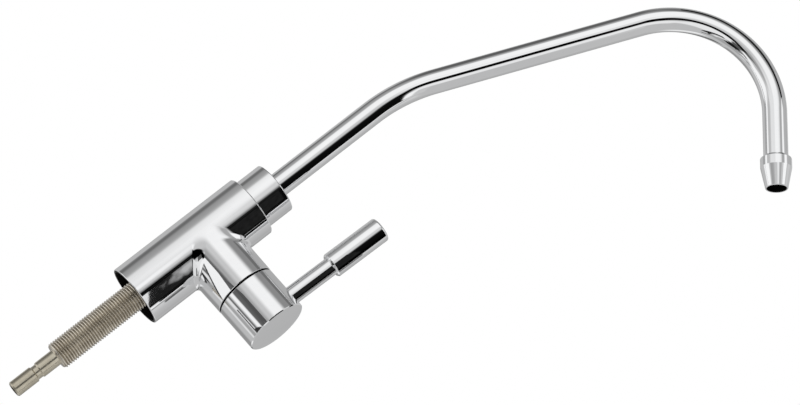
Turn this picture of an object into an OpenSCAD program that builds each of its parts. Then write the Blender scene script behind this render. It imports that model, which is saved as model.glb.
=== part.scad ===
// Drinking water tap with a swivel gooseneck spout and a side lever on a quarter-turn ceramic valve.
// The origin is the middle of the body's foot on the deck. +Z runs up the body, and +X points
// forward, the way the valve branch and the spout face. All sizes are in millimetres.

/* [Body] */
// Diameter of the upright barrel
body_d = 25; // [24.5:0.5:32]
// Height of the barrel above the deck
body_h = 56.5; // [52:0.5:70]
// Bevel on the barrel's upper rim
body_bevel = 0.4; // [0.2:0.1:1.2]
// Wall of the open skirt at the barrel's foot
skirt_wall = 1.2; // [0.8:0.1:2]
// Depth of the open skirt
skirt_depth = 14; // [9:0.5:16]
// Diameter of the valve branch
branch_d = 24.8; // [23:0.1:25]
// Distance from the barrel's top down to the branch axis
branch_drop = 23.5; // [22.5:0.5:25]
// Distance from the barrel's axis to the mouth of the branch
branch_reach = 25.2; // [23:0.2:32]
// Radius of the blend between barrel and branch, above and below the branch
blend_r = 1.5; // [0.8:0.1:3]
// Radius of that blend at the sides of the branch
blend_side_r = 4; // [1:0.1:5]

/* [Waterways] */
// Diameter of the bored inlet passage
inlet_d = 4; // [3:0.1:5]
// Diameter of the drilled outlet passage
outlet_d = 3.5; // [2.5:0.1:4]
// Metal left between neighbouring bores
bore_web = 2; // [1.5:0.1:3]
// Metal between the inlet passage and the valve seat
seat_web = 1.2; // [0.8:0.1:2]

/* [Shank] */
// Major diameter of the shank's thread
shank_d = 11.112; // [10:0.1:12.7]
// Length of thread below the deck
shank_len = 37.1; // [25:0.1:60]
// Bevel at the lower end of the thread
shank_bevel = 0.8; // [0.3:0.1:1.2]
// Height of the turned relief above the thread that takes the nut
relief_h = 2; // [1:0.1:3]
// Depth of that relief
relief_depth = 0.4; // [0.2:0.05:0.6]
// Diameter of the push-fit stem
stem_d = 6.35; // [6:0.05:8]
// Length of the push-fit stem
stem_len = 20; // [16:0.2:30]
// Bevel on the stem's tip
stem_bevel = 0.5; // [0.3:0.1:1]
// Distance from the end of the thread to the stem's grip groove
groove_from_thread = 7.8; // [4:0.1:10]
// Length of the grip groove
groove_len = 2.7; // [1.5:0.1:4]
// Depth of the grip groove
groove_depth = 0.45; // [0.2:0.05:0.6]
// Bore through the shank and stem
shank_bore_d = 4; // [3:0.1:4.4]

/* [Spout] */
// Outer diameter of the spout tube
tube_d = 9.52; // [8:0.1:10.5]
// Wall of the spout tube
tube_wall = 0.9; // [0.6:0.1:1.4]
// Height above the deck at which the tube starts to bend
riser_top = 116; // [90:1:180]
// Centre-line radius of the first bend
lean_bend_r = 68; // [40:1:100]
// Angle of the first bend
lean_angle = 23.3; // [10:0.1:40]
// Straight run between the two bends
lean_len = 83.5; // [40:0.5:140]
// Centre-line radius of the top bend
top_bend_r = 39; // [25:0.5:60]
// Angle of the top bend
top_angle = 108; // [80:1:150]
// Straight run from the top bend to the outlet
drop_len = 31.2; // [24:0.1:60]

/* [Outlet tip] */
// Length of the outlet tip
tip_len = 12.9; // [12:0.1:20]
// Largest diameter of the tip
tip_d = 12.1; // [11.6:0.1:14]
// Length of the tip's upper bevel
tip_shoulder = 0.9; // [0.5:0.1:2]
// Length of the tip's straight band
tip_band = 3.7; // [2:0.1:6]
// Diameter of the tip's outlet end
tip_end_d = 8.7; // [8.4:0.1:10]
// Diameter of the outlet hole
tip_bore_d = 7.2; // [6:0.1:7.3]
// Length of tube held in the tip
tip_grip = 5.8; // [4:0.1:9]
// Lip of the tip round the tube
tip_lip = 0.2; // [0.1:0.05:0.5]

/* [Collar and spout seat] */
// Outer diameter of the collar
collar_d = 20.8; // [19:0.1:23]
// Height of the collar above the body
collar_h = 11.7; // [8:0.1:20]
// Rounding on the collar's upper edge
collar_edge = 0.5; // [0.3:0.1:1.5]
// Diameter of the collar's thread in the body
collar_thread_d = 17; // [16.4:0.1:18]
// Length of the collar's thread
collar_thread_len = 5; // [4:0.1:6]
// Thickness of the collar's lip round the tube
collar_lip = 1.5; // [0.8:0.1:3]
// Outer diameter of the guide bush in the collar
bush_d = 12.4; // [12:0.1:13]
// Diameter of the spout socket in the body
socket_d = 13.6; // [13.2:0.1:14]
// Thickness of the flange on the spout's foot
flange_t = 1.5; // [1:0.1:2]
// Thickness of the slip washer under the flange
slip_washer_t = 0.8; // [0.5:0.1:1]
// Thickness of the floor under the tube in the spout's foot
foot_floor = 1.2; // [0.8:0.1:2]
// Section diameter of the spout's seal rings
spout_ring_d = 1.4; // [1.2:0.05:1.5]
// Height of the lower seal ring's middle above the foot's end
spout_ring_z = 1.5; // [1.3:0.1:1.6]
// Distance between the two seal rings
spout_ring_pitch = 2.5; // [2.3:0.1:2.7]
// Section diameter of the shank's seal ring
shank_ring_d = 1.6; // [1.2:0.1:2]

/* [Valve cartridge] */
// Diameter of the water chamber round the cartridge
chamber_d = 16; // [15:0.1:16.6]
// Length of the water chamber from the seat
chamber_len = 9.8; // [9.4:0.1:11]
// Diameter of the cartridge's thread
cartridge_thread_d = 17.6; // [17:0.1:18]
// Width of the cartridge's hexagon across its flats
hex_flats = 17; // [16.5:0.1:17.4]
// Thickness of the hexagon
hex_t = 3; // [2:0.1:4]
// Depth of the counterbore in the branch mouth
mouth_depth = 4.2; // [3:0.1:5]
// Diameter of the counterbore in the branch mouth
mouth_d = 20.4; // [20.2:0.1:21]
// Thickness of the gasket under the hexagon
gasket_t = 0.8; // [0.5:0.1:1.2]
// Wall of the cartridge round the discs
cartridge_wall = 1.1; // [0.8:0.1:1.4]
// Diameter of the cartridge's nose round the spindle
nose_d = 12; // [10.4:0.1:13]
// Length of the nose in front of the hexagon
nose_len = 3.2; // [2:0.1:3.6]
// Diameter of the ceramic discs
disc_d = 11.2; // [10.8:0.1:11.4]
// Thickness of each ceramic disc
disc_t = 2.2; // [1.8:0.1:2.4]
// Inner radius of the water openings in the discs
port_in = 1.5; // [1.2:0.1:2]
// Outer radius of the water openings in the discs
port_out = 4.5; // [4:0.1:4.7]
// Angle that each water opening spans
port_angle = 70; // [40:1:80]
// Width of the lugs that key the fixed disc
lug_w = 3; // [2:0.1:3.6]
// How far the lugs stand out of the fixed disc
lug_out = 0.7; // [0.4:0.1:0.9]
// Thickness of the rubber seat seal
seal_t = 2; // [1.5:0.1:2.4]
// Radial width of the rubber seat seal
seal_w = 1; // [0.7:0.1:1.1]

/* [Spindle] */
// Diameter of the spindle
spindle_d = 8; // [7.9:0.1:8.4]
// Width of the bar that drives the moving disc
drive_w = 3; // [2:0.1:3.6]
// Length of the bar that drives the moving disc
drive_len = 10; // [8:0.1:10.4]
// Height of the drive bar above the moving disc
drive_h = 1.6; // [1.2:0.1:2]
// Depth of the drive slot in the moving disc
drive_slot = 0.8; // [0.5:0.1:1.2]
// Thickness of the spindle's shoulder
shoulder_t = 1; // [0.6:0.1:1.4]
// Thickness of the washer over the shoulder
spindle_washer_t = 0.6; // [0.4:0.1:1]
// Section diameter of the spindle's seal rings
spindle_ring_d = 1.4; // [1.1:0.1:1.6]
// Distance from the housing's shoulder to the first spindle ring
spindle_ring_x = 2.5; // [1.6:0.1:3]
// Distance between the two spindle rings
spindle_ring_pitch = 3; // [2.4:0.1:4]
// Thickness of the retaining ring
circlip_t = 0.8; // [0.6:0.1:1]
// Outer diameter of the retaining ring
circlip_d = 11; // [10:0.1:12]
// Depth of the retaining ring's groove
circlip_groove = 0.6; // [0.4:0.1:0.8]
// Number of spline teeth
spline_teeth = 20; // [12:1:24]
// Diameter over the spline teeth
spline_d = 7.8; // [7:0.1:7.9]
// Height of the spline teeth
spline_h = 0.4; // [0.3:0.05:0.5]

/* [Handle] */
// Gap between the branch and the hub
seam = 0.7; // [0.3:0.1:1]
// Diameter of the hub
hub_d = 24.6; // [23:0.1:26]
// Length of the hub
hub_len = 18.2; // [16.5:0.1:24]
// Rounding on the hub's outer edge
hub_edge = 0.5; // [0.3:0.1:1.5]
// Wall of the hub's open rim
hub_wall = 1.6; // [1:0.1:2]
// Depth of the hub's hollow
hub_hollow = 5; // [4.6:0.1:5.4]
// Thickness of metal in front of the spindle
hub_front = 4; // [2:0.1:5]
// Distance from the hub's front face to the lever's axis
lever_inset = 6.5; // [5:0.1:7.5]
// Angle by which the lever leans forward
lever_lean = 1.4; // [0:0.1:5]
// Diameter of the lever rod
rod_d = 7.2; // [6:0.1:8]
// Height of the grip's lower end above the branch axis
grip_start = 30.8; // [26:0.1:45]
// Diameter of the grip
grip_d = 10; // [9:0.1:13]
// Length of the grip
grip_len = 24.2; // [18:0.2:40]
// Bevel on the grip's lower end
grip_bevel = 0.6; // [0.4:0.1:1.2]
// Rounding on the grip's upper edge
grip_edge = 1; // [0.4:0.1:2]
// Length of rod held in the grip
rod_grip = 12; // [8:0.5:16]
// Depth of the recess that takes the rod in the hub
rod_seat = 0.8; // [0.3:0.1:1.5]
// Diameter of the stud that screws the lever into the hub
stud_d = 5; // [4:0.1:5.6]
// Length of that stud
stud_len = 5.4; // [4:0.1:6]
// Diameter of the grub screw
grub_d = 4; // [3:0.1:4.4]
// Length of the grub screw
grub_len = 5; // [4:0.1:6]
// Width of the grub screw's hexagon socket
grub_key = 2; // [1.5:0.1:2.2]
// Depth of the grub screw's hexagon socket
grub_key_depth = 2.2; // [1:0.1:2.6]
// Distance from the hub's hollow to the grub screw's axis
grub_inset = 3; // [2.6:0.1:3.4]

/* [Fits] */
// Radial clearance of pieces that turn in each other
run_fit = 0.05; // [0.02:0.01:0.1]
// Clearance of pieces that are joined for good
seat_fit = 0.02; // [0.01:0.01:0.05]
// Play along an axis between pieces that turn
end_play = 0.1; // [0.05:0.01:0.2]
// Clearance round the tube where it leaves the collar
collar_gap = 0.1; // [0.05:0.01:0.2]

/* [Hidden] */
$fn = 96;

// Overlap of a cut past the face it leaves
past = 1;
chrome = [0.82, 0.83, 0.85];
nickel = [0.66, 0.61, 0.54];
brass = [0.78, 0.66, 0.38];
rubber = [0.08, 0.08, 0.08];
acetal = [0.9, 0.9, 0.87];
ceramic = [0.95, 0.93, 0.88];
steel = [0.55, 0.56, 0.58];

// Heights up the barrel
branch_z = body_h - branch_drop;
shank_hole_end = branch_z - chamber_d / 2 - bore_web;
shank_top = shank_hole_end - shank_ring_d - seat_fit;
socket_floor = branch_z + chamber_d / 2 + bore_web;
spigot_end = body_h - collar_thread_len;
flange_top = spigot_end - end_play;
flange_bottom = flange_top - flange_t;
socket_top = flange_bottom - end_play - slip_washer_t;
foot_end = socket_floor + end_play;
tube_end = foot_end + foot_floor;
collar_top = body_h + collar_h;

// Distances out along the branch
seat_x = inlet_d / 2 + seat_web;
fixed_x = seat_x + seal_t;
moving_x = fixed_x + disc_t + seat_fit;
drive_x = moving_x + disc_t;
shoulder_x = drive_x + drive_h;
washer_x = shoulder_x + shoulder_t;
housing_step = washer_x + spindle_washer_t + seat_fit;
chamber_end = seat_x + chamber_len;
mouth_floor = branch_reach - mouth_depth;
hex_x = mouth_floor + gasket_t;
nose_x = hex_x + hex_t;
nose_end = nose_x + nose_len;
circlip_x = nose_end + end_play;
hub_x = branch_reach + seam;
hub_end = hub_x + hub_len;
socket_x = hub_x + hub_hollow;
spindle_end = hub_end - hub_front;
lever_x = hub_end - lever_inset;
outlet_x = seat_x + outlet_d / 2;

// Radii of fits
tube_r = tube_d / 2;
housing_bore = disc_d / 2 + 2 * run_fit;
housing_r = housing_bore + cartridge_wall;
spindle_bore = spindle_d / 2 + run_fit;
spline_root = spline_d / 2 - spline_h;
foot_r = socket_d / 2 - run_fit;
spout_ring_r = socket_d / 2 - seat_fit - spout_ring_d / 2;
spindle_ring_r = spindle_bore - seat_fit - spindle_ring_d / 2;
shank_ring_r = shank_d / 2 - seat_fit - shank_ring_d / 2;
rod_foot = sqrt(pow(hub_d / 2, 2) - pow(rod_d / 2, 2)) - rod_seat;
stud_foot = rod_foot - stud_len;

// Turns a shape about the branch axis, so that its own Z runs out along the branch
module on_branch() {
    translate([0, 0, branch_z])
        rotate([0, 90, 0])
            children();
}

// Stands a shape on the lever's axis, at the branch axis, with its own Z up the lever
module on_lever() {
    translate([lever_x, 0, branch_z])
        rotate([0, lever_lean, 0])
            children();
}

// A solid of revolution with a true round on its upper outer edge
module rounded_post(r, h, edge) {
    rotate_extrude() {
        square([r, h - edge]);
        square([r - edge, h]);
        translate([r - edge, h - edge])
            circle(r = edge);
    }
}

module ring(r_in, r_out, h) {
    difference() {
        cylinder(r = r_out, h = h);
        translate([0, 0, -past])
            cylinder(r = r_in, h = h + 2 * past);
    }
}

module seal_ring(r, section_d) {
    rotate_extrude()
        translate([r, 0])
            circle(d = section_d);
}

// The groove that holds a seal ring, cut from outside
module seal_groove(r, section_d, r_out) {
    width = section_d + 4 * seat_fit;
    translate([0, 0, -width / 2])
        ring(r - section_d / 2 - seat_fit, r_out + past, width);
}

// Section of a tube bend that starts along +Z and turns towards +X
module bend(r, bend_r, angle) {
    translate([bend_r, 0, 0])
        rotate([90, 0, 180])
            rotate_extrude(angle = angle)
                translate([bend_r, 0])
                    circle(r = r);
}

module after_bend(bend_r, angle) {
    translate([bend_r * (1 - cos(angle)), 0, bend_r * sin(angle)])
        rotate([0, angle, 0])
            children();
}

module at_lean_end() {
    translate([0, 0, riser_top])
        after_bend(lean_bend_r, lean_angle)
            translate([0, 0, lean_len])
                children();
}

// Places a shape at the outlet, with its own Z along the flow
module at_outlet() {
    at_lean_end()
        after_bend(top_bend_r, top_angle)
            translate([0, 0, drop_len])
                children();
}

// A hair-high sleeve over the line where a bend and a straight run meet, so that both are one solid
module seam_sleeve(r) {
    sleeve_h = 0.01;
    sleeve_len = 0.4;
    translate([0, 0, -sleeve_len / 2])
        cylinder(r = r + sleeve_h, h = sleeve_len);
}

// The gooseneck as a solid rod of one radius, drawn out past both ends by extra
module gooseneck(r, extra) {
    translate([0, 0, tube_end - extra])
        cylinder(r = r, h = riser_top - tube_end + extra);
    translate([0, 0, riser_top]) {
        seam_sleeve(r);
        bend(r, lean_bend_r, lean_angle);
        after_bend(lean_bend_r, lean_angle) {
            seam_sleeve(r);
            cylinder(r = r, h = lean_len);
        }
    }
    at_lean_end() {
        seam_sleeve(r);
        bend(r, top_bend_r, top_angle);
        after_bend(top_bend_r, top_angle) {
            seam_sleeve(r);
            cylinder(r = r, h = drop_len - tip_len + tip_grip + extra);
        }
    }
}

// Blend between barrel and branch: in each section across the body, an arc rounds the corner
blend_steps = 28;
blend_arc = 6;
blend_reach = 88;
// How far the blend's edges lie under the surfaces that they meet
blend_bite = 0.04;
// How far the blend's root lies behind the corner
blend_root = 0.5;
function corner_y(t) = min(body_d, branch_d) / 2 * sin(t);
function corner_at(t, d) = sqrt(pow(d / 2, 2) - pow(corner_y(t), 2)) - blend_bite;
function corner(t) = [corner_at(t, body_d), corner_y(t), corner_at(t, branch_d)];
function blend_at(t) = blend_r + (blend_side_r - blend_r) * pow(sin(t), 2);
function blend_section(t) = [
    for (j = [0 : blend_arc])
        let (a = 90 * j / blend_arc)
        corner(t) + blend_at(t) * [1 - cos(a), 0, 1 - sin(a)],
    corner(t) - blend_root * [1, 0, 1]
];

module upper_blend() {
    ring_n = blend_arc + 2;
    points = [
        for (i = [0 : blend_steps])
            each blend_section(blend_reach * (2 * i / blend_steps - 1))
    ];
    walls = [
        for (i = [0 : blend_steps - 1], j = [0 : ring_n - 1])
            let (a = i * ring_n + j, b = i * ring_n + (j + 1) % ring_n)
            each [[a, b + ring_n, b], [a, a + ring_n, b + ring_n]]
    ];
    last = blend_steps * ring_n;
    apex = ring_n - 1;
    caps = [
        for (j = [0 : blend_arc - 1])
            each [[apex, j, j + 1], [last + apex, last + j + 1, last + j]]
    ];
    polyhedron(points, concat(walls, caps), convexity = 6);
}

module tap_body() {
    barrel_r = body_d / 2;
    color(chrome)
        difference() {
            union() {
                rotate_extrude()
                    polygon([
                        [0, 0],
                        [barrel_r, 0],
                        [barrel_r, body_h - body_bevel],
                        [barrel_r - body_bevel, body_h],
                        [0, body_h]
                    ]);
                on_branch()
                    cylinder(d = branch_d, h = branch_reach);
                translate([0, 0, branch_z]) {
                    upper_blend();
                    mirror([0, 0, 1])
                        upper_blend();
                }
            }
            translate([0, 0, -past])
                cylinder(r = barrel_r - skirt_wall, h = skirt_depth + past);
            cylinder(r = shank_d / 2 + seat_fit, h = shank_hole_end);
            cylinder(d = inlet_d, h = branch_z + inlet_d / 2);
            on_branch() {
                cylinder(d = inlet_d, h = seat_x + past);
                translate([0, 0, seat_x])
                    cylinder(d = chamber_d, h = chamber_len + past);
                translate([0, 0, chamber_end])
                    cylinder(r = cartridge_thread_d / 2 + seat_fit, h = branch_reach - chamber_end);
                translate([0, 0, mouth_floor])
                    cylinder(d = mouth_d, h = mouth_depth + past);
            }
            translate([outlet_x, 0, branch_z])
                cylinder(d = outlet_d, h = socket_floor - branch_z + past);
            translate([0, 0, socket_floor])
                cylinder(d = socket_d, h = body_h - socket_floor);
            translate([0, 0, socket_top])
                cylinder(r = collar_thread_d / 2 + seat_fit, h = body_h - socket_top + past);
        }
}

module threaded_shank() {
    thread_r = shank_d / 2;
    stem_r = stem_d / 2;
    tip_z = -shank_len - stem_len;
    groove_top = -shank_len - groove_from_thread;
    groove_end = groove_top - groove_len;
    color(nickel)
        difference() {
            rotate_extrude()
                polygon([
                    [0, tip_z],
                    [stem_r - stem_bevel, tip_z],
                    [stem_r, tip_z + stem_bevel],
                    [stem_r, groove_end],
                    [stem_r - groove_depth, groove_end + groove_depth],
                    [stem_r - groove_depth, groove_top - groove_depth],
                    [stem_r, groove_top],
                    [stem_r, -shank_len],
                    [thread_r - shank_bevel, -shank_len],
                    [thread_r, -shank_len + shank_bevel],
                    [thread_r, skirt_depth - relief_h],
                    [thread_r - relief_depth, skirt_depth - relief_h + relief_depth],
                    [thread_r - relief_depth, skirt_depth],
                    [thread_r, skirt_depth + relief_depth],
                    [thread_r, shank_top],
                    [0, shank_top]
                ]);
            translate([0, 0, tip_z - past])
                cylinder(d = shank_bore_d, h = shank_top - tip_z + 2 * past);
        }
}

module shank_seal_ring() {
    color(rubber)
        translate([0, 0, shank_top + seat_fit / 2 + shank_ring_d / 2])
            seal_ring(shank_ring_r, shank_ring_d);
}

module spout_collar() {
    color(chrome)
        difference() {
            union() {
                translate([0, 0, body_h])
                    rounded_post(collar_d / 2, collar_h, collar_edge);
                translate([0, 0, spigot_end])
                    cylinder(d = collar_thread_d, h = collar_thread_len);
            }
            translate([0, 0, spigot_end - past])
                cylinder(d = bush_d, h = collar_top - collar_lip - spigot_end + past);
            translate([0, 0, spigot_end])
                cylinder(r = tube_r + collar_gap, h = collar_top - spigot_end + past);
        }
}

module guide_bush() {
    color(acetal)
        translate([0, 0, spigot_end])
            ring(tube_r + run_fit, bush_d / 2 - seat_fit, collar_top - collar_lip - spigot_end - seat_fit);
}

module slip_washer() {
    color(acetal)
        translate([0, 0, socket_top])
            ring(socket_d / 2 + run_fit, collar_thread_d / 2 - run_fit, slip_washer_t);
}

module spout_tube() {
    color(chrome)
        difference() {
            gooseneck(tube_r, 0);
            gooseneck(tube_r - tube_wall, past);
        }
}

module spout_foot() {
    color(brass)
        difference() {
            union() {
                translate([0, 0, foot_end])
                    cylinder(r = foot_r, h = flange_top - foot_end);
                translate([0, 0, flange_bottom])
                    cylinder(r = collar_thread_d / 2 - 2 * run_fit, h = flange_t);
            }
            translate([0, 0, tube_end])
                cylinder(r = tube_r + seat_fit, h = flange_top - tube_end + past);
            translate([0, 0, foot_end - past])
                cylinder(r = tube_r - tube_wall, h = foot_floor + 2 * past);
            for (i = [0 : 1])
                translate([0, 0, foot_end + spout_ring_z + i * spout_ring_pitch])
                    seal_groove(spout_ring_r, spout_ring_d, foot_r);
        }
}

module spout_seal_rings() {
    color(rubber)
        for (i = [0 : 1])
            translate([0, 0, foot_end + spout_ring_z + i * spout_ring_pitch])
                seal_ring(spout_ring_r, spout_ring_d);
}

module outlet_tip() {
    bore_r = tip_bore_d / 2;
    color(chrome)
        at_outlet()
            rotate_extrude()
                polygon([
                    [tube_r + seat_fit, -tip_len],
                    [tube_r + seat_fit + tip_lip, -tip_len],
                    [tip_d / 2, -tip_len + tip_shoulder],
                    [tip_d / 2, -tip_len + tip_shoulder + tip_band],
                    [tip_end_d / 2, 0],
                    [bore_r, 0],
                    [bore_r, -tip_len + tip_grip],
                    [tube_r + seat_fit, -tip_len + tip_grip]
                ]);
}

module cartridge_housing() {
    window_w = 2 * port_out * sin(port_angle / 2);
    lower_end = seat_x + seal_t / 4;
    color(brass)
        on_branch()
            difference() {
                union() {
                    translate([0, 0, lower_end])
                        cylinder(r = housing_r, h = mouth_floor - lower_end);
                    translate([0, 0, chamber_end])
                        cylinder(d = cartridge_thread_d, h = hex_x - chamber_end);
                    translate([0, 0, hex_x])
                        cylinder(d = hex_flats / cos(30), h = hex_t, $fn = 6);
                    translate([0, 0, nose_x])
                        cylinder(d = nose_d, h = nose_len);
                }
                translate([0, 0, lower_end - past])
                    cylinder(r = housing_bore, h = housing_step - lower_end + past);
                cylinder(r = spindle_bore, h = nose_end + past);
                translate([-housing_r - past, -lug_w / 2 - seat_fit, lower_end - past])
                    cube([2 * (housing_r + past), lug_w + 2 * seat_fit, fixed_x + disc_t + seat_fit - lower_end + past]);
                translate([-window_w / 2, -housing_r - past, drive_x])
                    cube([window_w, 2 * (housing_r + past), drive_h]);
            }
}

module cartridge_gasket() {
    color(rubber)
        on_branch()
            translate([0, 0, mouth_floor])
                ring(cartridge_thread_d / 2 + seat_fit, mouth_d / 2 - run_fit, gasket_t);
}

module seat_seal() {
    seal_r = housing_bore - seat_fit;
    lip = seal_w / 4;
    color(rubber)
        on_branch()
            translate([0, 0, seat_x])
                rotate_extrude()
                    polygon([
                        [seal_r - seal_w, 0],
                        [seal_r - seal_w + lip, 0],
                        [seal_r - seal_w / 2, lip],
                        [seal_r - lip, 0],
                        [seal_r, 0],
                        [seal_r, seal_t],
                        [seal_r - seal_w, seal_t]
                    ]);
}

// Two opposite water openings through a disc, the first about the given direction
module disc_ports(direction) {
    for (turn = [0, 180])
        rotate([0, 0, direction + turn - port_angle / 2])
            translate([0, 0, -past])
                rotate_extrude(angle = port_angle)
                    translate([port_in, 0])
                        square([port_out - port_in, disc_t + 2 * past]);
}

module fixed_disc() {
    color(ceramic)
        on_branch()
            translate([0, 0, fixed_x])
                difference() {
                    union() {
                        cylinder(d = disc_d, h = disc_t);
                        translate([-disc_d / 2 - lug_out, -lug_w / 2, 0])
                            cube([disc_d + 2 * lug_out, lug_w, disc_t]);
                    }
                    disc_ports(90);
                }
}

module moving_disc() {
    color(ceramic)
        on_branch()
            translate([0, 0, moving_x])
                difference() {
                    cylinder(d = disc_d, h = disc_t);
                    disc_ports(0);
                    translate([-drive_w / 2 - seat_fit, -disc_d, disc_t - drive_slot])
                        cube([drive_w + 2 * seat_fit, 2 * disc_d, drive_slot + past]);
                }
}

// Outline of the splined shaft end, a tooth tip and a root in turn
module spline_outline(clearance) {
    polygon([
        for (i = [0 : 2 * spline_teeth - 1])
            let (r = clearance + (i % 2 == 0 ? spline_d / 2 : spline_root))
            r * [cos(i * 180 / spline_teeth), sin(i * 180 / spline_teeth)]
    ]);
}

module valve_spindle() {
    color(brass)
        on_branch() {
            translate([-drive_w / 2, -drive_len / 2, drive_x - drive_slot + seat_fit])
                cube([drive_w, drive_len, drive_slot - seat_fit + drive_h]);
            difference() {
                union() {
                    translate([0, 0, shoulder_x])
                        cylinder(d = disc_d, h = shoulder_t);
                    translate([0, 0, washer_x])
                        cylinder(d = spindle_d, h = socket_x - washer_x);
                }
                for (i = [0 : 1])
                    translate([0, 0, housing_step + spindle_ring_x + i * spindle_ring_pitch])
                        seal_groove(spindle_ring_r, spindle_ring_d, spindle_d / 2);
                translate([0, 0, circlip_x])
                    ring(spindle_d / 2 - circlip_groove, spindle_d / 2 + past, circlip_t + 2 * seat_fit);
            }
            translate([0, 0, socket_x])
                linear_extrude(spindle_end - socket_x)
                    spline_outline(0);
        }
}

module spindle_washer() {
    color(acetal)
        on_branch()
            translate([0, 0, washer_x])
                ring(spindle_d / 2 + seat_fit, disc_d / 2, spindle_washer_t);
}

module spindle_seal_rings() {
    color(rubber)
        on_branch()
            for (i = [0 : 1])
                translate([0, 0, housing_step + spindle_ring_x + i * spindle_ring_pitch])
                    seal_ring(spindle_ring_r, spindle_ring_d);
}

// Open spring ring that snaps into the spindle's groove
module retaining_ring() {
    gap_w = spindle_d / 2;
    color(steel)
        on_branch()
            translate([0, 0, circlip_x + seat_fit])
                difference() {
                    ring(spindle_d / 2 - circlip_groove + seat_fit, circlip_d / 2, circlip_t);
                    translate([0, -gap_w / 2, -past])
                        cube([circlip_d, gap_w, circlip_t + 2 * past]);
                }
}

module handle_hub() {
    color(chrome)
        difference() {
            on_branch()
                difference() {
                    translate([0, 0, hub_x])
                        rounded_post(hub_d / 2, hub_len, hub_edge);
                    translate([0, 0, hub_x - past])
                        cylinder(r = hub_d / 2 - hub_wall, h = hub_hollow + past);
                    translate([0, 0, socket_x - past])
                        linear_extrude(spindle_end - socket_x + past)
                            spline_outline(seat_fit);
                    translate([0, 0, socket_x + grub_inset])
                        rotate([-90, 0, 0])
                            cylinder(r = grub_d / 2 + seat_fit, h = hub_d);
                }
            on_lever() {
                translate([0, 0, rod_foot])
                    cylinder(r = rod_d / 2 + seat_fit, h = hub_d);
                translate([0, 0, stud_foot])
                    cylinder(r = stud_d / 2 + seat_fit, h = hub_d);
            }
        }
}

// Hexagon-socket screw that locks the hub on the spindle, from the side that faces away
module grub_screw() {
    color(steel)
        on_branch()
            translate([0, 0, socket_x + grub_inset])
                rotate([-90, 0, 0])
                    translate([0, 0, spline_d / 2 + seat_fit])
                        difference() {
                            cylinder(d = grub_d, h = grub_len);
                            translate([0, 0, grub_len - grub_key_depth])
                                cylinder(d = grub_key / cos(30), h = grub_key_depth + past, $fn = 6);
                        }
}

module lever_rod() {
    color(chrome)
        on_lever() {
            translate([0, 0, rod_foot])
                cylinder(d = rod_d, h = grip_start + rod_grip - rod_foot);
            translate([0, 0, stud_foot])
                cylinder(d = stud_d, h = stud_len + past);
        }
}

module lever_grip() {
    color(chrome)
        on_lever()
            translate([0, 0, grip_start])
                difference() {
                    rounded_post(grip_d / 2, grip_len, grip_edge);
                    translate([0, 0, -past])
                        cylinder(r = rod_d / 2 + seat_fit, h = rod_grip + seat_fit + past);
                    rotate_extrude()
                        polygon([
                            [grip_d / 2 - grip_bevel, 0],
                            [grip_d / 2 + past, -past],
                            [grip_d / 2 + past, grip_bevel + past],
                            [grip_d / 2, grip_bevel]
                        ]);
                }
}

tap_body();
threaded_shank();
shank_seal_ring();
spout_collar();
guide_bush();
slip_washer();
cartridge_housing();
cartridge_gasket();
seat_seal();
fixed_disc();
spout_tube();
spout_foot();
spout_seal_rings();
outlet_tip();
valve_spindle();
moving_disc();
spindle_washer();
spindle_seal_rings();
retaining_ring();
handle_hub();
grub_screw();
lever_rod();
lever_grip();
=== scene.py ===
import math
from contextlib import contextmanager

import bmesh
import bpy
import numpy as np
from mathutils import Matrix


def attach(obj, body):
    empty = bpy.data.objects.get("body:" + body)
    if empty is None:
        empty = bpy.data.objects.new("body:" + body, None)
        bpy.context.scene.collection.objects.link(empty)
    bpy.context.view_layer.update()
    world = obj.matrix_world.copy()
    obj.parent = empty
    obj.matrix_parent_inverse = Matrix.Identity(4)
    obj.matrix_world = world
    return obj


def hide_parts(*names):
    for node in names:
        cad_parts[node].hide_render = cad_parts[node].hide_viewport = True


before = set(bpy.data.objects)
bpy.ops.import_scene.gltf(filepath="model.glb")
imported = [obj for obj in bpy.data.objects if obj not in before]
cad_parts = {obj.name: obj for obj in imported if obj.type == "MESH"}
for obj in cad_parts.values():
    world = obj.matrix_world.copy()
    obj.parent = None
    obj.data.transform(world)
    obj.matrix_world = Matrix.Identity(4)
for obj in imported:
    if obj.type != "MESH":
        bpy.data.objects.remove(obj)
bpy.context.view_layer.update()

# Sizes in millimetres, as on the solids
MM = 0.001
X, Y, Z = np.eye(3)
SEAT_FIT = 0.02
BARREL_R, BARREL_H, BARREL_BEVEL = 12.5, 56.5, 0.4
SKIRT_R, SKIRT_DEPTH = 11.3, 14.0
INLET_R, INLET_END, SHANK_HOLE_R, SHANK_HOLE_END = 2.0, 30.0, 5.58, 23.0
SOCKET_R, SOCKET_TOP, SOCKET_FLOOR = 6.8, 49.0, 43.0
BRANCH_R, BRANCH_Z, BRANCH_END = 12.4, 33.0, 25.2
BLEND_TOP, BLEND_SIDE = 1.5, 4.0
MOUTH_R, MOUTH_FLOOR, CARTRIDGE_HOLE_R = 10.2, 21.0, 8.82
CHAMBER_R, CHAMBER_END, SEAT_X = 8.0, 13.0, 3.2
SHANK_R, SHANK_TOP, SHANK_BEVEL, SHANK_BORE_R = 5.556, 21.38, 0.8, 2.0
THREAD_END, THREAD_PITCH, THREAD_DEPTH = -37.1, 1.058, 0.58
RELIEF_H, RELIEF_DEPTH = 2.0, 0.4
STEM_R, STEM_END, STEM_BEVEL = 3.175, -57.1, 0.5
GROOVE_FROM_THREAD, GROOVE_LEN, GROOVE_DEPTH = 7.8, 2.7, 0.45
COLLAR_R, COLLAR_TOP, COLLAR_LIP, COLLAR_BORE_R = 10.4, 68.2, 1.5, 4.86
COLLAR_THREAD_R, COLLAR_THREAD_END, BUSH_R = 8.5, 51.5, 6.2
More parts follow.
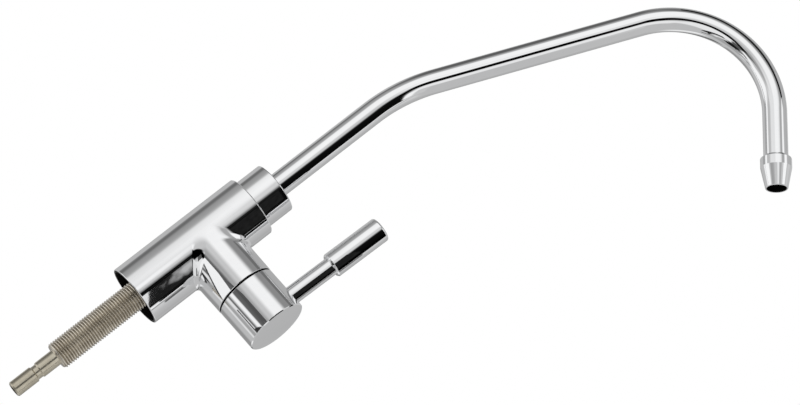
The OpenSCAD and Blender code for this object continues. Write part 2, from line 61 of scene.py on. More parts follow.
TUBE_R, TUBE_WALL, TUBE_FOOT, RISER_TOP = 4.76, 0.9, 44.3, 116.0
LEAN_BEND_R, LEAN, LEAN_LEN = 68.0, math.radians(23.3), 83.5
TOP_BEND_R, TOP_TURN, DROP_LEN = 39.0, math.radians(108.0), 31.2
TIP_LEN, TIP_R, TIP_SHOULDER, TIP_BAND = 12.9, 6.05, 0.9, 3.7
TIP_END_R, TIP_BORE_R, TIP_GRIP, TIP_LIP = 4.35, 3.6, 5.8, 0.2
HUB_R, HUB_START, HUB_END, HUB_EDGE = 12.3, 25.9, 44.1, 0.35
HUB_WALL, HUB_HOLLOW, HUB_FRONT, SPLINE_HOLE_R = 1.6, 5.0, 4.0, 3.92
LEVER_X, LEVER_LEAN, RECESS_BEVEL = 37.6, math.radians(1.4), 0.45
ROD_R, ROD_FOOT, ROD_TOP, STUD_R, STUD_FOOT = 3.6, 10.96, 42.8, 2.5, 5.56
GRIP_R, GRIP_START, GRIP_END, GRIP_BEVEL, GRIP_EDGE = 5.0, 30.8, 55.0, 0.6, 1.0
GRUB_X, GRUB_R, GRUB_FLOOR = 33.9, 2.02, 3.95

# Points of a mesh in one cell of this size are one point. The shift keeps round sizes off the borders
WELD_CELL, WELD_SHIFT = 2e-4, 0.137
# Marks on a profile: a piece's first material outside, its second inside, which is painted near-black as
# shade
PLATED, BARE_PAINTED_SHADE = 0, 1
# The largest share of a side that a corner's round may take
ROUND_SHARE = 0.45


def heading_step(heading):
    """One millimetre in the spout's plane, as (x, z), at an angle from upright."""
    return np.array([math.sin(heading), math.cos(heading)])


def spout_bend(start, heading, radius, turn, steps):
    """Points of an arc in the spout's plane that turns forwards."""
    centre = start + radius * heading_step(heading + math.pi / 2)
    headings = heading + np.linspace(0, turn, steps + 1)
    return np.stack([centre - radius * heading_step(h + math.pi / 2) for h in headings])


# The spout's centre line, which also gives the tip its place
LEAN_BEND = spout_bend(np.array([0.0, RISER_TOP]), 0.0, LEAN_BEND_R, LEAN, 40)
TOP_BEND = spout_bend(LEAN_BEND[-1] + LEAN_LEN * heading_step(LEAN), LEAN, TOP_BEND_R, TOP_TURN, 140)
DROP = heading_step(LEAN + TOP_TURN)
OUTLET = TOP_BEND[-1] + DROP_LEN * DROP
FLOW = DROP[0] * X + DROP[1] * Z

# Places for turned pieces: origin, two radial directions, axis
UPRIGHT = (np.zeros(3), X, Y, Z)
BRANCH = (BRANCH_Z * Z, Z, Y, X)
LEVER_UP = math.sin(LEVER_LEAN) * X + math.cos(LEVER_LEAN) * Z
LEVER = (LEVER_X * X + BRANCH_Z * Z, np.cross(Y, LEVER_UP), Y, LEVER_UP)
TIP = (OUTLET[0] * X + OUTLET[1] * Z, Y, np.cross(FLOW, Y), FLOW)


def put_in_scene(name, data):
    holder = bpy.data.objects.new(name, data)
    bpy.context.collection.objects.link(holder)
    return holder


@contextmanager
def edited(mesh):
    """Opens a mesh for bmesh tools and writes the result back."""
    bm = bmesh.new()
    bm.from_mesh(mesh)
    yield bm
    bm.to_mesh(mesh)
    bm.free()


class Shell:
    """Collects grids of points with their own normals and welds them into one mesh."""

    def __init__(self):
        self.points, self.normals, self.faces, self.marks = [], [], [], []
        self.count = 0

    def grid(self, points, normals, marks=None):
        rows, cols = points.shape[:2]
        index = self.count + np.arange(rows * cols).reshape(rows, cols)
        quads = np.stack([index[:-1, :-1], index[:-1, 1:], index[1:, 1:], index[1:, :-1]], -1)
        kinds = np.full(rows, PLATED) if marks is None else np.asarray(marks)
        self.faces.append(quads.reshape(-1, 4))
        self.marks.append(np.repeat(kinds[: rows - 1], cols - 1))
        self.points.append(points.reshape(-1, 3))
        self.normals.append(np.broadcast_to(normals, points.shape).reshape(-1, 3))
        self.count += rows * cols

    def build(self, name, *materials):
        points, normals = np.concatenate(self.points), np.concatenate(self.normals)
        cells = np.round(points / WELD_CELL + WELD_SHIFT).astype(np.int64)
        _, first, same = np.unique(cells, axis=0, return_index=True, return_inverse=True)
        same = same.reshape(-1)
        faces, loops, marks = [], [], []
        for quad, mark in zip(np.concatenate(self.faces), np.concatenate(self.marks)):
            corners = {}
            for v in quad:
                corners.setdefault(int(same[v]), v)
            if len(corners) < 3:
                continue
            used = list(corners.values())
            ring = points[used]
            facing = np.cross(ring, np.roll(ring, -1, 0)).sum(0)
            if facing @ normals[used].sum(0) < 0:
                used.reverse()
            faces.append([int(same[v]) for v in used])
            loops.extend(normals[used])
            marks.append(int(mark))
        mesh = bpy.data.meshes.new(name)
        mesh.from_pydata(points[first] * MM, [], faces)
        mesh.polygons.foreach_set("use_smooth", [True] * len(faces))
        mesh.polygons.foreach_set("material_index", marks)
        mesh.normals_split_custom_set(loops)
        for material in materials:
            mesh.materials.append(material)
        return put_in_scene(name, mesh)


def rounded(corners, closed=False, steps=6):
    """Points and normals of a profile (radius, height, round, mark). The outside is on the right."""
    at = [np.array(c[:2], float) for c in corners]
    points, normals, marks = [], [], []
    mark = PLATED
    for i, corner in enumerate(corners):
        mark = corner[3] if len(corner) > 3 else mark
        ends = not closed and i in (0, len(at) - 1)
        before, here, after = at[i - 1], at[i], at[(i + 1) % len(at)]
        if ends:
            before, after = (here, after) if i == 0 else (before, here)
            way = (after - before) / np.linalg.norm(after - before)
            points.append(here)
            normals.append([way[1], -way[0]])
            marks.append(mark)
            continue
        to, on = here - before, after - here
        to_len, on_len = np.linalg.norm(to), np.linalg.norm(on)
        to, on = to / to_len, on / on_len
        turn = math.atan2(to[0] * on[1] - to[1] * on[0], to @ on)
        half = math.tan(abs(turn) / 2)
        wanted = corner[2] if len(corner) > 2 else 0.0
        cut = min(wanted * half, ROUND_SHARE * to_len, ROUND_SHARE * on_len)
        radius = cut / half
        side = math.copysign(1, turn)
        right = np.array([to[1], -to[0]])
        middle = here - to * cut - right * side * radius
        for s in range(steps + 1):
            c, k = math.cos(turn * s / steps), math.sin(turn * s / steps)
            out = np.array([c * right[0] - k * right[1], k * right[0] + c * right[1]])
            points.append(middle + side * radius * out)
            normals.append(out)
            marks.append(mark)
    if closed:
        points.append(points[0])
        normals.append(normals[0])
        marks.append(mark)
    return np.array(points), np.array(normals), marks


def lathe(shell, place, corners, angles=128, closed=False):
    """Turns a profile round a place's axis, by a number of sides or at given angles."""
    origin, u, v, w = place
    if isinstance(angles, int):
        angles = np.linspace(0, 2 * math.pi, angles + 1)
    points, normals, marks = rounded(corners, closed)
    out = np.cos(angles)[:, None] * u + np.sin(angles)[:, None] * v
    shell.grid(
        origin + points[:, None, :1] * out + points[:, None, 1:] * w,
        normals[:, None, :1] * out + normals[:, None, 1:] * w,
        marks,
    )


def pierced(shell, place, radius, hole, angles, heights, steps):
    """The wall of a cylinder from a hole's rim, as (angle, height), to the edges of its sheet."""
    origin, u, v, w = place
    (a0, a1), (h0, h1) = angles, heights
    n = len(hole)
    turn = (np.arange(n) + n // 8) % n
    side, f = turn // (n // 4), (turn % (n // 4)) / (n // 4)
    edge_a = np.choose(side, [a0 + (a1 - a0) * f, a1 + 0 * f, a1 + (a0 - a1) * f, a0 + 0 * f])
    edge_h = np.choose(side, [h1 + 0 * f, h1 + (h0 - h1) * f, h0 + 0 * f, h0 + (h1 - h0) * f])
    edge = np.stack([edge_a, edge_h], -1)
    s = np.linspace(0, 1, steps + 1)[:, None, None]
    sheet = hole * (1 - s) + edge * s
    sheet = np.concatenate([sheet, sheet[:, :1]], 1)
    out = np.cos(sheet[..., :1]) * u + np.sin(sheet[..., :1]) * v
    shell.grid(origin + radius * out + sheet[..., 1:] * w, out)


def edge_angles(n, a0, a1):
    """Angles along the upper or lower edge of a pierced sheet whose hole has n points."""
    return np.linspace(a0, a1, n // 4 + 1)


# Node helpers
def link(tree, value, socket):
    if isinstance(value, bpy.types.NodeSocket):
        tree.links.new(value, socket)
    else:
        socket.default_value = value


def add(tree, kind, settings=None, inputs=None):
    node = tree.nodes.new(kind)
    for key, value in (settings or {}).items():
        setattr(node, key, value)
    for key, value in (inputs or {}).items():
        link(tree, value, node.inputs[key])
    return node


def math_node(tree, operation, *values, clamp=False):
    node = add(tree, "ShaderNodeMath", {"operation": operation, "use_clamp": clamp})
    for socket, value in zip(node.inputs, values):
        link(tree, value, socket)
    return node.outputs[0]


def noise(tree, vector, scale, detail=3.0, roughness=0.5):
    inputs = {"Vector": vector, "Scale": scale, "Detail": detail, "Roughness": roughness}
    return add(tree, "ShaderNodeTexNoise", inputs=inputs).outputs[0]


def spread(tree, value, low, high, to_low, to_high):
    inputs = {0: value, 1: low, 2: high, 3: to_low, 4: to_high}
    return add(tree, "ShaderNodeMapRange", inputs=inputs).outputs[0]


def mix_colour(tree, share, a, b):
    node = add(tree, "ShaderNodeMix", {"data_type": "RGBA"})
    for socket, value in ((node.inputs[0], share), (node.inputs[6], a), (node.inputs[7], b)):
        link(tree, value, socket)
    return node.outputs[2]


def object_place(tree):
    return add(tree, "ShaderNodeTexCoord").outputs["Object"]


def stretched(tree, vector, along_z):
    """A place for patterns that run finer or coarser along Z."""
    inputs = {"Vector": vector, "Scale": (1.0, 1.0, along_z)}
    return add(tree, "ShaderNodeMapping", inputs=inputs).outputs[0]


def shader_group(name, inputs, outputs):
    """A shader node group with named float inputs (name, default) and float outputs."""
    tree = bpy.data.node_groups.new(name, "ShaderNodeTree")
    for key, default in inputs:
        socket = tree.interface.new_socket(key, in_out="INPUT", socket_type="NodeSocketFloat")
        socket.default_value = default
    for key in outputs:
        tree.interface.new_socket(key, in_out="OUTPUT", socket_type="NodeSocketFloat")
    return tree, tree.nodes.new("NodeGroupInput"), tree.nodes.new("NodeGroupOutput")


def make_handling_marks():
    """Faint wiping smears and the soft ripple of a polished plate, in object space."""
    inputs = (("Smear scale", 45.0), ("Ripple scale", 420.0))
    tree, start, end = shader_group("handling_marks", inputs, ("Smear", "Ripple"))
    where = object_place(tree)
    drawn = stretched(tree, where, 0.35)
    fine_scale = math_node(tree, "MULTIPLY", start.outputs["Smear scale"], 14.0)
    broad = noise(tree, drawn, start.outputs["Smear scale"], 5.0, 0.6)
    fine = noise(tree, drawn, fine_scale, 2.0)
    both = math_node(tree, "MULTIPLY_ADD", broad, 0.75, math_node(tree, "MULTIPLY", fine, 0.25))
    link(tree, spread(tree, both, 0.35, 0.65, 0.0, 1.0), end.inputs["Smear"])
    link(tree, noise(tree, where, start.outputs["Ripple scale"], 2.0), end.inputs["Ripple"])
    return tree


def make_tool_lines():
    """Fine rings that a lathe tool leaves, along one axis, and slow staining."""
    inputs = (("Along x", 0.0), ("Along y", 0.0), ("Along z", 1.0), ("Lines per metre", 3000.0))
    tree, start, end = shader_group("tool_lines", inputs, ("Line", "Blotch"))
    where = object_place(tree)
    axis = add(tree, "ShaderNodeCombineXYZ", inputs={i: start.outputs[i] for i in range(3)}).outputs[0]
    along = add(tree, "ShaderNodeVectorMath", {"operation": "DOT_PRODUCT"}, {0: where, 1: axis})
    wander = math_node(tree, "MULTIPLY", noise(tree, where, 900.0, 2.0), 0.0002)
    distance = math_node(tree, "ADD", along.outputs["Value"], wander)
    phase = math_node(tree, "MULTIPLY", distance, start.outputs["Lines per metre"])
    link(tree, math_node(tree, "PINGPONG", phase, 1.0), end.inputs["Line"])
    stains = noise(tree, where, 260.0, 2.5)
    link(tree, spread(tree, stains, 0.3, 0.7, 0.0, 1.0), end.inputs["Blotch"])
    return tree


HANDLING = make_handling_marks()
TOOL_LINES = make_tool_lines()


def new_material(name, colour, metallic, **constants):
    material = bpy.data.materials.new(name)
    material.use_nodes = True
    material.diffuse_color = (*colour, 1.0)
    shader = material.node_tree.nodes["Principled BSDF"]
    shader.inputs["Metallic"].default_value = metallic
    for key, value in constants.items():
        shader.inputs[key.replace("_", " ").title()].default_value = value
    return material, material.node_tree, shader


def use_group(tree, group, **inputs):
    node = add(tree, "ShaderNodeGroup", {"node_tree": group})
    for key, value in inputs.items():
        link(tree, value, node.inputs[key.replace("_", " ").capitalize()])
    return node.outputs


def bump(tree, shader, height, strength, distance):
    inputs = {"Height": height, "Strength": strength, "Distance": distance}
    link(tree, add(tree, "ShaderNodeBump", inputs=inputs).outputs[0], shader.inputs["Normal"])


def plated(name, bright, dim, smooth, dull, ripple):
    """Polished plate: colour and gloss change with faint smears, over a slight ripple."""
    material, tree, shader = new_material(name, bright, 1.0)
    marks = use_group(tree, HANDLING)
    link(tree, mix_colour(tree, marks["Smear"], (*bright, 1), (*dim, 1)), shader.inputs["Base Color"])
    link(tree, spread(tree, marks["Smear"], 0.0, 1.0, smooth, dull), shader.inputs["Roughness"])
    bump(tree, shader, marks["Ripple"], ripple, 0.0002)
    return material


def turned(name, bright, dim, smooth, dull, axis, lines):
    """Machined metal: rings from the tool along an axis, and slight staining."""
    material, tree, shader = new_material(name, bright, 1.0)
    along = dict(zip(("along_x", "along_y", "along_z"), axis))
    marks = use_group(tree, TOOL_LINES, lines_per_metre=lines, **along)
    link(tree, mix_colour(tree, marks["Blotch"], (*bright, 1), (*dim, 1)), shader.inputs["Base Color"])
    link(tree, spread(tree, marks["Blotch"], 0.0, 1.0, smooth, dull), shader.inputs["Roughness"])
    bump(tree, shader, marks["Line"], 0.25, 0.00005)
    return material


def moulded(name, colour, shade, smooth, dull, grain, strength, **constants):
    """Moulded or pressed material: fine grain and slow shade changes."""
    material, tree, shader = new_material(name, colour, 0.0, **constants)
    where = object_place(tree)
    slow, fine = noise(tree, where, 300.0, 4.0), noise(tree, where, grain, 3.0, 0.6)
    link(tree, mix_colour(tree, slow, (*colour, 1), (*shade, 1)), shader.inputs["Base Color"])
    link(tree, spread(tree, fine, 0.3, 0.7, smooth, dull), shader.inputs["Roughness"])
    bump(tree, shader, fine, strength, 0.0001)
    return material


def make_nickel():
    """Satin nickel plate: tool lines, stains, a darker stem, and a darker colour in the roots of the thread.
    """
    bright, dim, root_dark = (0.86, 0.805, 0.705), (0.74, 0.68, 0.58), (0.26, 0.23, 0.18)
    stem_bright, stem_dim = (0.655, 0.607, 0.496), (0.562, 0.513, 0.408)
    stem_fade = 0.2
    material, tree, shader = new_material("satin_nickel", bright, 1.0)
    marks = use_group(tree, TOOL_LINES, lines_per_metre=5200.0)
    cut = mix_colour(tree, marks["Blotch"], (*bright, 1), (*dim, 1))
    drawn = mix_colour(tree, marks["Blotch"], (*stem_bright, 1), (*stem_dim, 1))
    height = add(tree, "ShaderNodeSeparateXYZ", inputs={0: object_place(tree)}).outputs[2]
    on_stem = spread(tree, height, (THREAD_END - stem_fade) * MM, THREAD_END * MM, 1.0, 0.0)
    plate = mix_colour(tree, on_stem, cut, drawn)
    # The roots of the thread are painted darker, patchy with the stains
    root = add(tree, "ShaderNodeAttribute", {"attribute_name": "thread_root"}).outputs["Fac"]
    kept = spread(tree, root, 0.3, 1.0, 0.0, 0.8)
    root_darkening = math_node(tree, "MULTIPLY", kept, spread(tree, marks["Blotch"], 0.0, 1.0, 0.7, 1.0))
    link(tree, mix_colour(tree, root_darkening, plate, (*root_dark, 1)), shader.inputs["Base Color"])
    rough = spread(tree, marks["Blotch"], 0.0, 1.0, 0.2, 0.26)
    link(tree, math_node(tree, "MULTIPLY_ADD", root, 0.08, rough), shader.inputs["Roughness"])
    bump(tree, shader, marks["Line"], 0.03, 0.00004)
    return material


BRASS_TONES = (0.74, 0.55, 0.24), (0.60, 0.42, 0.17)
CHROME = plated("polished_chrome", (0.93, 0.934, 0.94), (0.89, 0.895, 0.905), 0.02, 0.05, 0.012)
# Walls inside bores, the skirt and hollows: near-black painted shade, darker than the metal itself
SHADE_PAINTED_INSIDE = turned("inside_painted_shade", (0.03, 0.028, 0.026), (0.014, 0.013, 0.012), 0.4, 0.6, Z, 2600.0)
NICKEL = make_nickel()
BRASS_X = turned("turned_brass", *BRASS_TONES, 0.18, 0.34, X, 4000.0)
BRASS_Z = turned("turned_brass_upright", *BRASS_TONES, 0.18, 0.34, Z, 4000.0)
RUBBER = moulded("seal_rubber", (0.018, 0.018, 0.019), (0.03, 0.03, 0.031), 0.5, 0.72, 4000.0, 0.25)
ACETAL = moulded("natural_acetal", (0.84, 0.84, 0.80), (0.78, 0.78, 0.73), 0.32, 0.5, 2600.0, 0.1)
CERAMIC = moulded(
    "lapped_ceramic", (0.88, 0.86, 0.80), (0.84, 0.81, 0.74), 0.12, 0.24, 6000.0, 0.05, coat_weight=0.2,
)
STEEL = turned("plain_steel", (0.52, 0.53, 0.55), (0.40, 0.41, 0.43), 0.22, 0.36, Y, 5000.0)


# Pieces
def finish_piece(piece, body, slot, *nodes):
    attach(piece, body)
    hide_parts(*nodes)
    return piece


def tap_body():
    """Barrel and branch with a blend in their corner, open skirt, spout socket and valve chamber."""
    shell = Shell()
    n, arc, rows = 384, 12, 12
    t = 2 * math.pi * np.arange(n + 1) / n
    s = np.linspace(0, math.pi / 2, arc + 1)[:, None]
    up = np.where(np.cos(t) >= 0, 1.0, -1.0)
    y, reach = BARREL_R * np.sin(t), BARREL_R * np.abs(np.cos(t))
    blend = BLEND_TOP + (BLEND_SIDE - BLEND_TOP) * np.sin(t) ** 2
    growth = (BLEND_SIDE - BLEND_TOP) * np.sin(2 * t) * up
    x = reach + blend * (1 - np.cos(s))
    z = up * (reach + blend * (1 - np.sin(s)))
    swing = np.sin(s) * (1 - np.sin(s)) + np.cos(s) * (1 - np.cos(s))
    way = np.stack([
        reach * np.cos(s), y * (np.cos(s) + np.sin(s)) - growth * swing, up * reach * np.sin(s),
    ], -1)
    way = way / np.linalg.norm(way, axis=-1, keepdims=True)
    shell.grid(np.stack([x, y + 0 * x, z + BRANCH_Z], -1), way)

    lower, upper = 1.0, BARREL_H - 1.4
    hole = np.stack([np.arctan2(y, reach), z[0] + BRANCH_Z], -1)[:-1]
    pierced(shell, UPRIGHT, BARREL_R, hole, (-math.pi, math.pi), (lower, upper), 48)
    round_barrel = edge_angles(n, -math.pi, math.pi)
    thread_hole = COLLAR_THREAD_R + SEAT_FIT
    lathe(shell, UPRIGHT, [
        (BARREL_R, upper), (BARREL_R, BARREL_H - BARREL_BEVEL, 0.25),
        (BARREL_R - BARREL_BEVEL, BARREL_H, 0.15), (thread_hole, BARREL_H, 0.15),
        (thread_hole, SOCKET_TOP, 0.1, BARE_PAINTED_SHADE),
        (SOCKET_R, SOCKET_TOP, 0.1), (SOCKET_R, SOCKET_FLOOR, 0.1), (0, SOCKET_FLOOR),
    ], round_barrel)
    lathe(shell, UPRIGHT, [
        (0, INLET_END, 0, BARE_PAINTED_SHADE), (INLET_R, INLET_END, 0.1), (INLET_R, SHANK_HOLE_END, 0.1),
        (SHANK_HOLE_R, SHANK_HOLE_END, 0.1), (SHANK_HOLE_R, SKIRT_DEPTH, 0.1),
        (SKIRT_R, SKIRT_DEPTH, 0.3), (SKIRT_R, 0, 0.15), (BARREL_R, 0, 0.35, PLATED), (BARREL_R, lower),
    ], round_barrel)

    straight = BRANCH_END - 0.5
    s = np.linspace(0, 1, rows)[:, None]
    out = np.stack([0 * t, np.sin(t), np.cos(t)], -1)
    along = x[-1] * (1 - s) + straight * s
    radius = BARREL_R + (BRANCH_R - BARREL_R) * s * s * (3 - 2 * s)
    slope = (BRANCH_R - BARREL_R) * 6 * s * (1 - s) / (straight - x[-1])
    wall = BRANCH_Z * Z + radius[..., None] * out + along[..., None] * X
    shell.grid(wall, out - slope[..., None] * X)
    lathe(shell, BRANCH, [
        (BRANCH_R, straight), (BRANCH_R, BRANCH_END, 0.2), (MOUTH_R, BRANCH_END, 0.15),
        (MOUTH_R, MOUTH_FLOOR, 0.1, BARE_PAINTED_SHADE), (CARTRIDGE_HOLE_R, MOUTH_FLOOR, 0.1),
        (CARTRIDGE_HOLE_R, CHAMBER_END, 0.1), (CHAMBER_R, CHAMBER_END, 0.1),
        (CHAMBER_R, SEAT_X, 0.1), (0, SEAT_X),
    ], t)
    return finish_piece(shell.build("body_shell", CHROME, SHADE_PAINTED_INSIDE), "base", "chrome_plate", "tap_body")


def spout_collar():
    """Collar with its thread in the body and the bush's bore under a lip."""
    shell = Shell()
    lip = COLLAR_TOP - COLLAR_LIP
    lathe(shell, UPRIGHT, [
        (BUSH_R, COLLAR_THREAD_END, 0.1), (COLLAR_THREAD_R, COLLAR_THREAD_END, 0.3),
        (COLLAR_THREAD_R, BARREL_H, 0.05), (COLLAR_R, BARREL_H, 0.15), (COLLAR_R, COLLAR_TOP, 0.5),
        (COLLAR_BORE_R, COLLAR_TOP, 0.3), (COLLAR_BORE_R, lip, 0.1), (BUSH_R, lip, 0.1),
    ], closed=True)
    return finish_piece(shell.build("collar_shell", CHROME), "base", "chrome_plate", "spout_collar")


def outlet_tip():
    """Tip on the tube's end, measured back from its mouth."""
    shell = Shell()
    grip, shoulder = TIP_GRIP - TIP_LEN, TIP_SHOULDER - TIP_LEN
    lathe(shell, TIP, [
        (TUBE_R + SEAT_FIT, -TIP_LEN, 0.05), (TUBE_R + SEAT_FIT + TIP_LIP, -TIP_LEN, 0.1),
        (TIP_R, shoulder, 0.4), (TIP_R, shoulder + TIP_BAND, 0.5), (TIP_END_R, 0, 0.15),
        (TIP_BORE_R, 0, 0.32, BARE_PAINTED_SHADE), (TIP_BORE_R, grip, 0.1), (TUBE_R + SEAT_FIT, grip, 0.05),
    ], closed=True)
    return finish_piece(shell.build("tip_shell", CHROME, SHADE_PAINTED_INSIDE), "spout", "chrome_plate", "outlet_tip")


def handle_hub():
    """Hub with the lever's recess on top, the screw's hole at the back and a hollow rim."""
    shell = Shell()
    n = 192
    t = 2 * math.pi * np.arange(n) / n
    close = np.r_[np.arange(n), 0]
    seat, mouth = ROD_R + SEAT_FIT, ROD_R + RECESS_BEVEL
    out = np.cos(t)[:, None] * LEVER[1] + np.sin(t)[:, None] * Y
    top = np.sqrt(HUB_R**2 - (mouth * np.sin(t)) ** 2)
    rise = (top + mouth * np.cos(t) * math.sin(LEVER_LEAN)) / math.cos(LEVER_LEAN)
    rim = LEVER[0] + mouth * out + rise[:, None] * LEVER_UP
    lever_hole = np.stack([np.arctan2(rim[:, 1], rim[:, 2] - BRANCH_Z), rim[:, 0]], -1)
    across, down = GRUB_X + GRUB_R * np.cos(t), GRUB_R * np.sin(t)
    deep = np.sqrt(HUB_R**2 - down**2)
    screw_hole = np.stack([np.arctan2(deep, -down), across], -1)

    heights = HUB_START + 0.5, HUB_END - 1.0
    parting = math.radians(-140), math.radians(45), math.radians(220)
    pierced(shell, BRANCH, HUB_R, lever_hole, parting[:2], heights, 24)
    pierced(shell, BRANCH, HUB_R, screw_hole, parting[1:], heights, 24)
    angles = np.concatenate([edge_angles(n, *parting[:2])[:-1], edge_angles(n, *parting[1:])])
    lathe(shell, BRANCH, [
        (HUB_R, heights[1]), (HUB_R, HUB_END - HUB_EDGE, 0.15),
        (HUB_R - HUB_EDGE, HUB_END, 0.15), (0, HUB_END),
    ], angles)
    floor, hollow = HUB_END - HUB_FRONT, HUB_START + HUB_HOLLOW
    lathe(shell, BRANCH, [
        (0, floor, 0, BARE_PAINTED_SHADE), (SPLINE_HOLE_R, floor, 0.1), (SPLINE_HOLE_R, hollow, 0.2),
        (HUB_R - HUB_WALL, hollow, 0.4), (HUB_R - HUB_WALL, HUB_START, 0.15),
        (HUB_R, HUB_START, 0.15, PLATED), (HUB_R, heights[0]),
    ], angles)

    neck = rim - (mouth - seat) * (out + LEVER_UP)
    foot = LEVER[0] + seat * out + ROD_FOOT * LEVER_UP
    shell.grid(np.stack([neck, rim])[:, close], (LEVER_UP - out[close]) / math.sqrt(2))
    shell.grid(np.stack([foot, neck])[:, close], -out[close], [BARE_PAINTED_SHADE, BARE_PAINTED_SHADE])
    lathe(shell, LEVER, [
        (0, STUD_FOOT, 0, BARE_PAINTED_SHADE), (STUD_R + SEAT_FIT, STUD_FOOT),
        (STUD_R + SEAT_FIT, ROD_FOOT), (seat, ROD_FOOT),
    ], t[close] + np.r_[np.zeros(n), 2 * math.pi])
    low = np.stack([across, np.full(n, GRUB_FLOOR), BRANCH_Z - down], -1)
    high = np.stack([across, deep, BRANCH_Z - down], -1)
    inward = np.stack([-np.cos(t), 0 * t, np.sin(t)], -1)
    middle = np.broadcast_to([GRUB_X, GRUB_FLOOR, BRANCH_Z], low.shape)
    shell.grid(np.stack([low, high])[:, close], inward[close], [BARE_PAINTED_SHADE, BARE_PAINTED_SHADE])
    shell.grid(np.stack([low, middle])[:, close], Y, [BARE_PAINTED_SHADE, BARE_PAINTED_SHADE])
    return finish_piece(shell.build("hub_shell", CHROME, SHADE_PAINTED_INSIDE), "handle", "chrome_plate", "handle_hub")


def lever_rod():
    """Rod with its stud in the hub."""
    shell = Shell()
    lathe(shell, LEVER, [
        (0, STUD_FOOT), (STUD_R, STUD_FOOT, 0.3), (STUD_R, ROD_FOOT, 0.05), (ROD_R, ROD_FOOT, 0.1),
        (ROD_R, ROD_TOP, 0.3), (0, ROD_TOP),
    ], 96)
    return finish_piece(shell.build("lever_stem", CHROME), "handle", "chrome_plate", "lever_rod")


def lever_grip():
    """Sleeve on the rod, with a bevelled foot and a rounded top."""
    shell = Shell()
    bore, bore_end = ROD_R + SEAT_FIT, ROD_TOP + SEAT_FIT
    lathe(shell, LEVER, [
        (0, bore_end), (bore, bore_end, 0.1), (bore, GRIP_START, 0.08),
        (GRIP_R - GRIP_BEVEL, GRIP_START, 0.12), (GRIP_R, GRIP_START + GRIP_BEVEL, 0.2),
        (GRIP_R, GRIP_END, GRIP_EDGE), (0, GRIP_END),
    ], 96)
    return finish_piece(shell.build("lever_sleeve", CHROME), "handle", "chrome_plate", "lever_grip")


# Forms that follow a path or a rule come from geometry nodes
def form_group(name, inputs):
    """A geometry node group with a geometry in and out and named inputs (name, kind, default)."""
    tree = bpy.data.node_groups.new(name, "GeometryNodeTree")
    tree.interface.new_socket("Geometry", in_out="INPUT", socket_type="NodeSocketGeometry")
    for key, kind, default in inputs:
        socket = tree.interface.new_socket(key, in_out="INPUT", socket_type="NodeSocket" + kind)
        if default is not None:
            socket.default_value = default
    tree.interface.new_socket("Geometry", in_out="OUTPUT", socket_type="NodeSocketGeometry")
    return tree, tree.nodes.new("NodeGroupInput"), tree.nodes.new("NodeGroupOutput")


def dress(tree, shape, material):
    """The last steps of a form: smooth shading, material, real geometry."""
    smooth = add(tree, "GeometryNodeSetShadeSmooth", inputs={"Geometry": shape}).outputs[0]
    painted = add(tree, "GeometryNodeSetMaterial", inputs={"Geometry": smooth, "Material": material})
    return add(tree, "GeometryNodeRealizeInstances", inputs={"Geometry": painted.outputs[0]}).outputs[0]


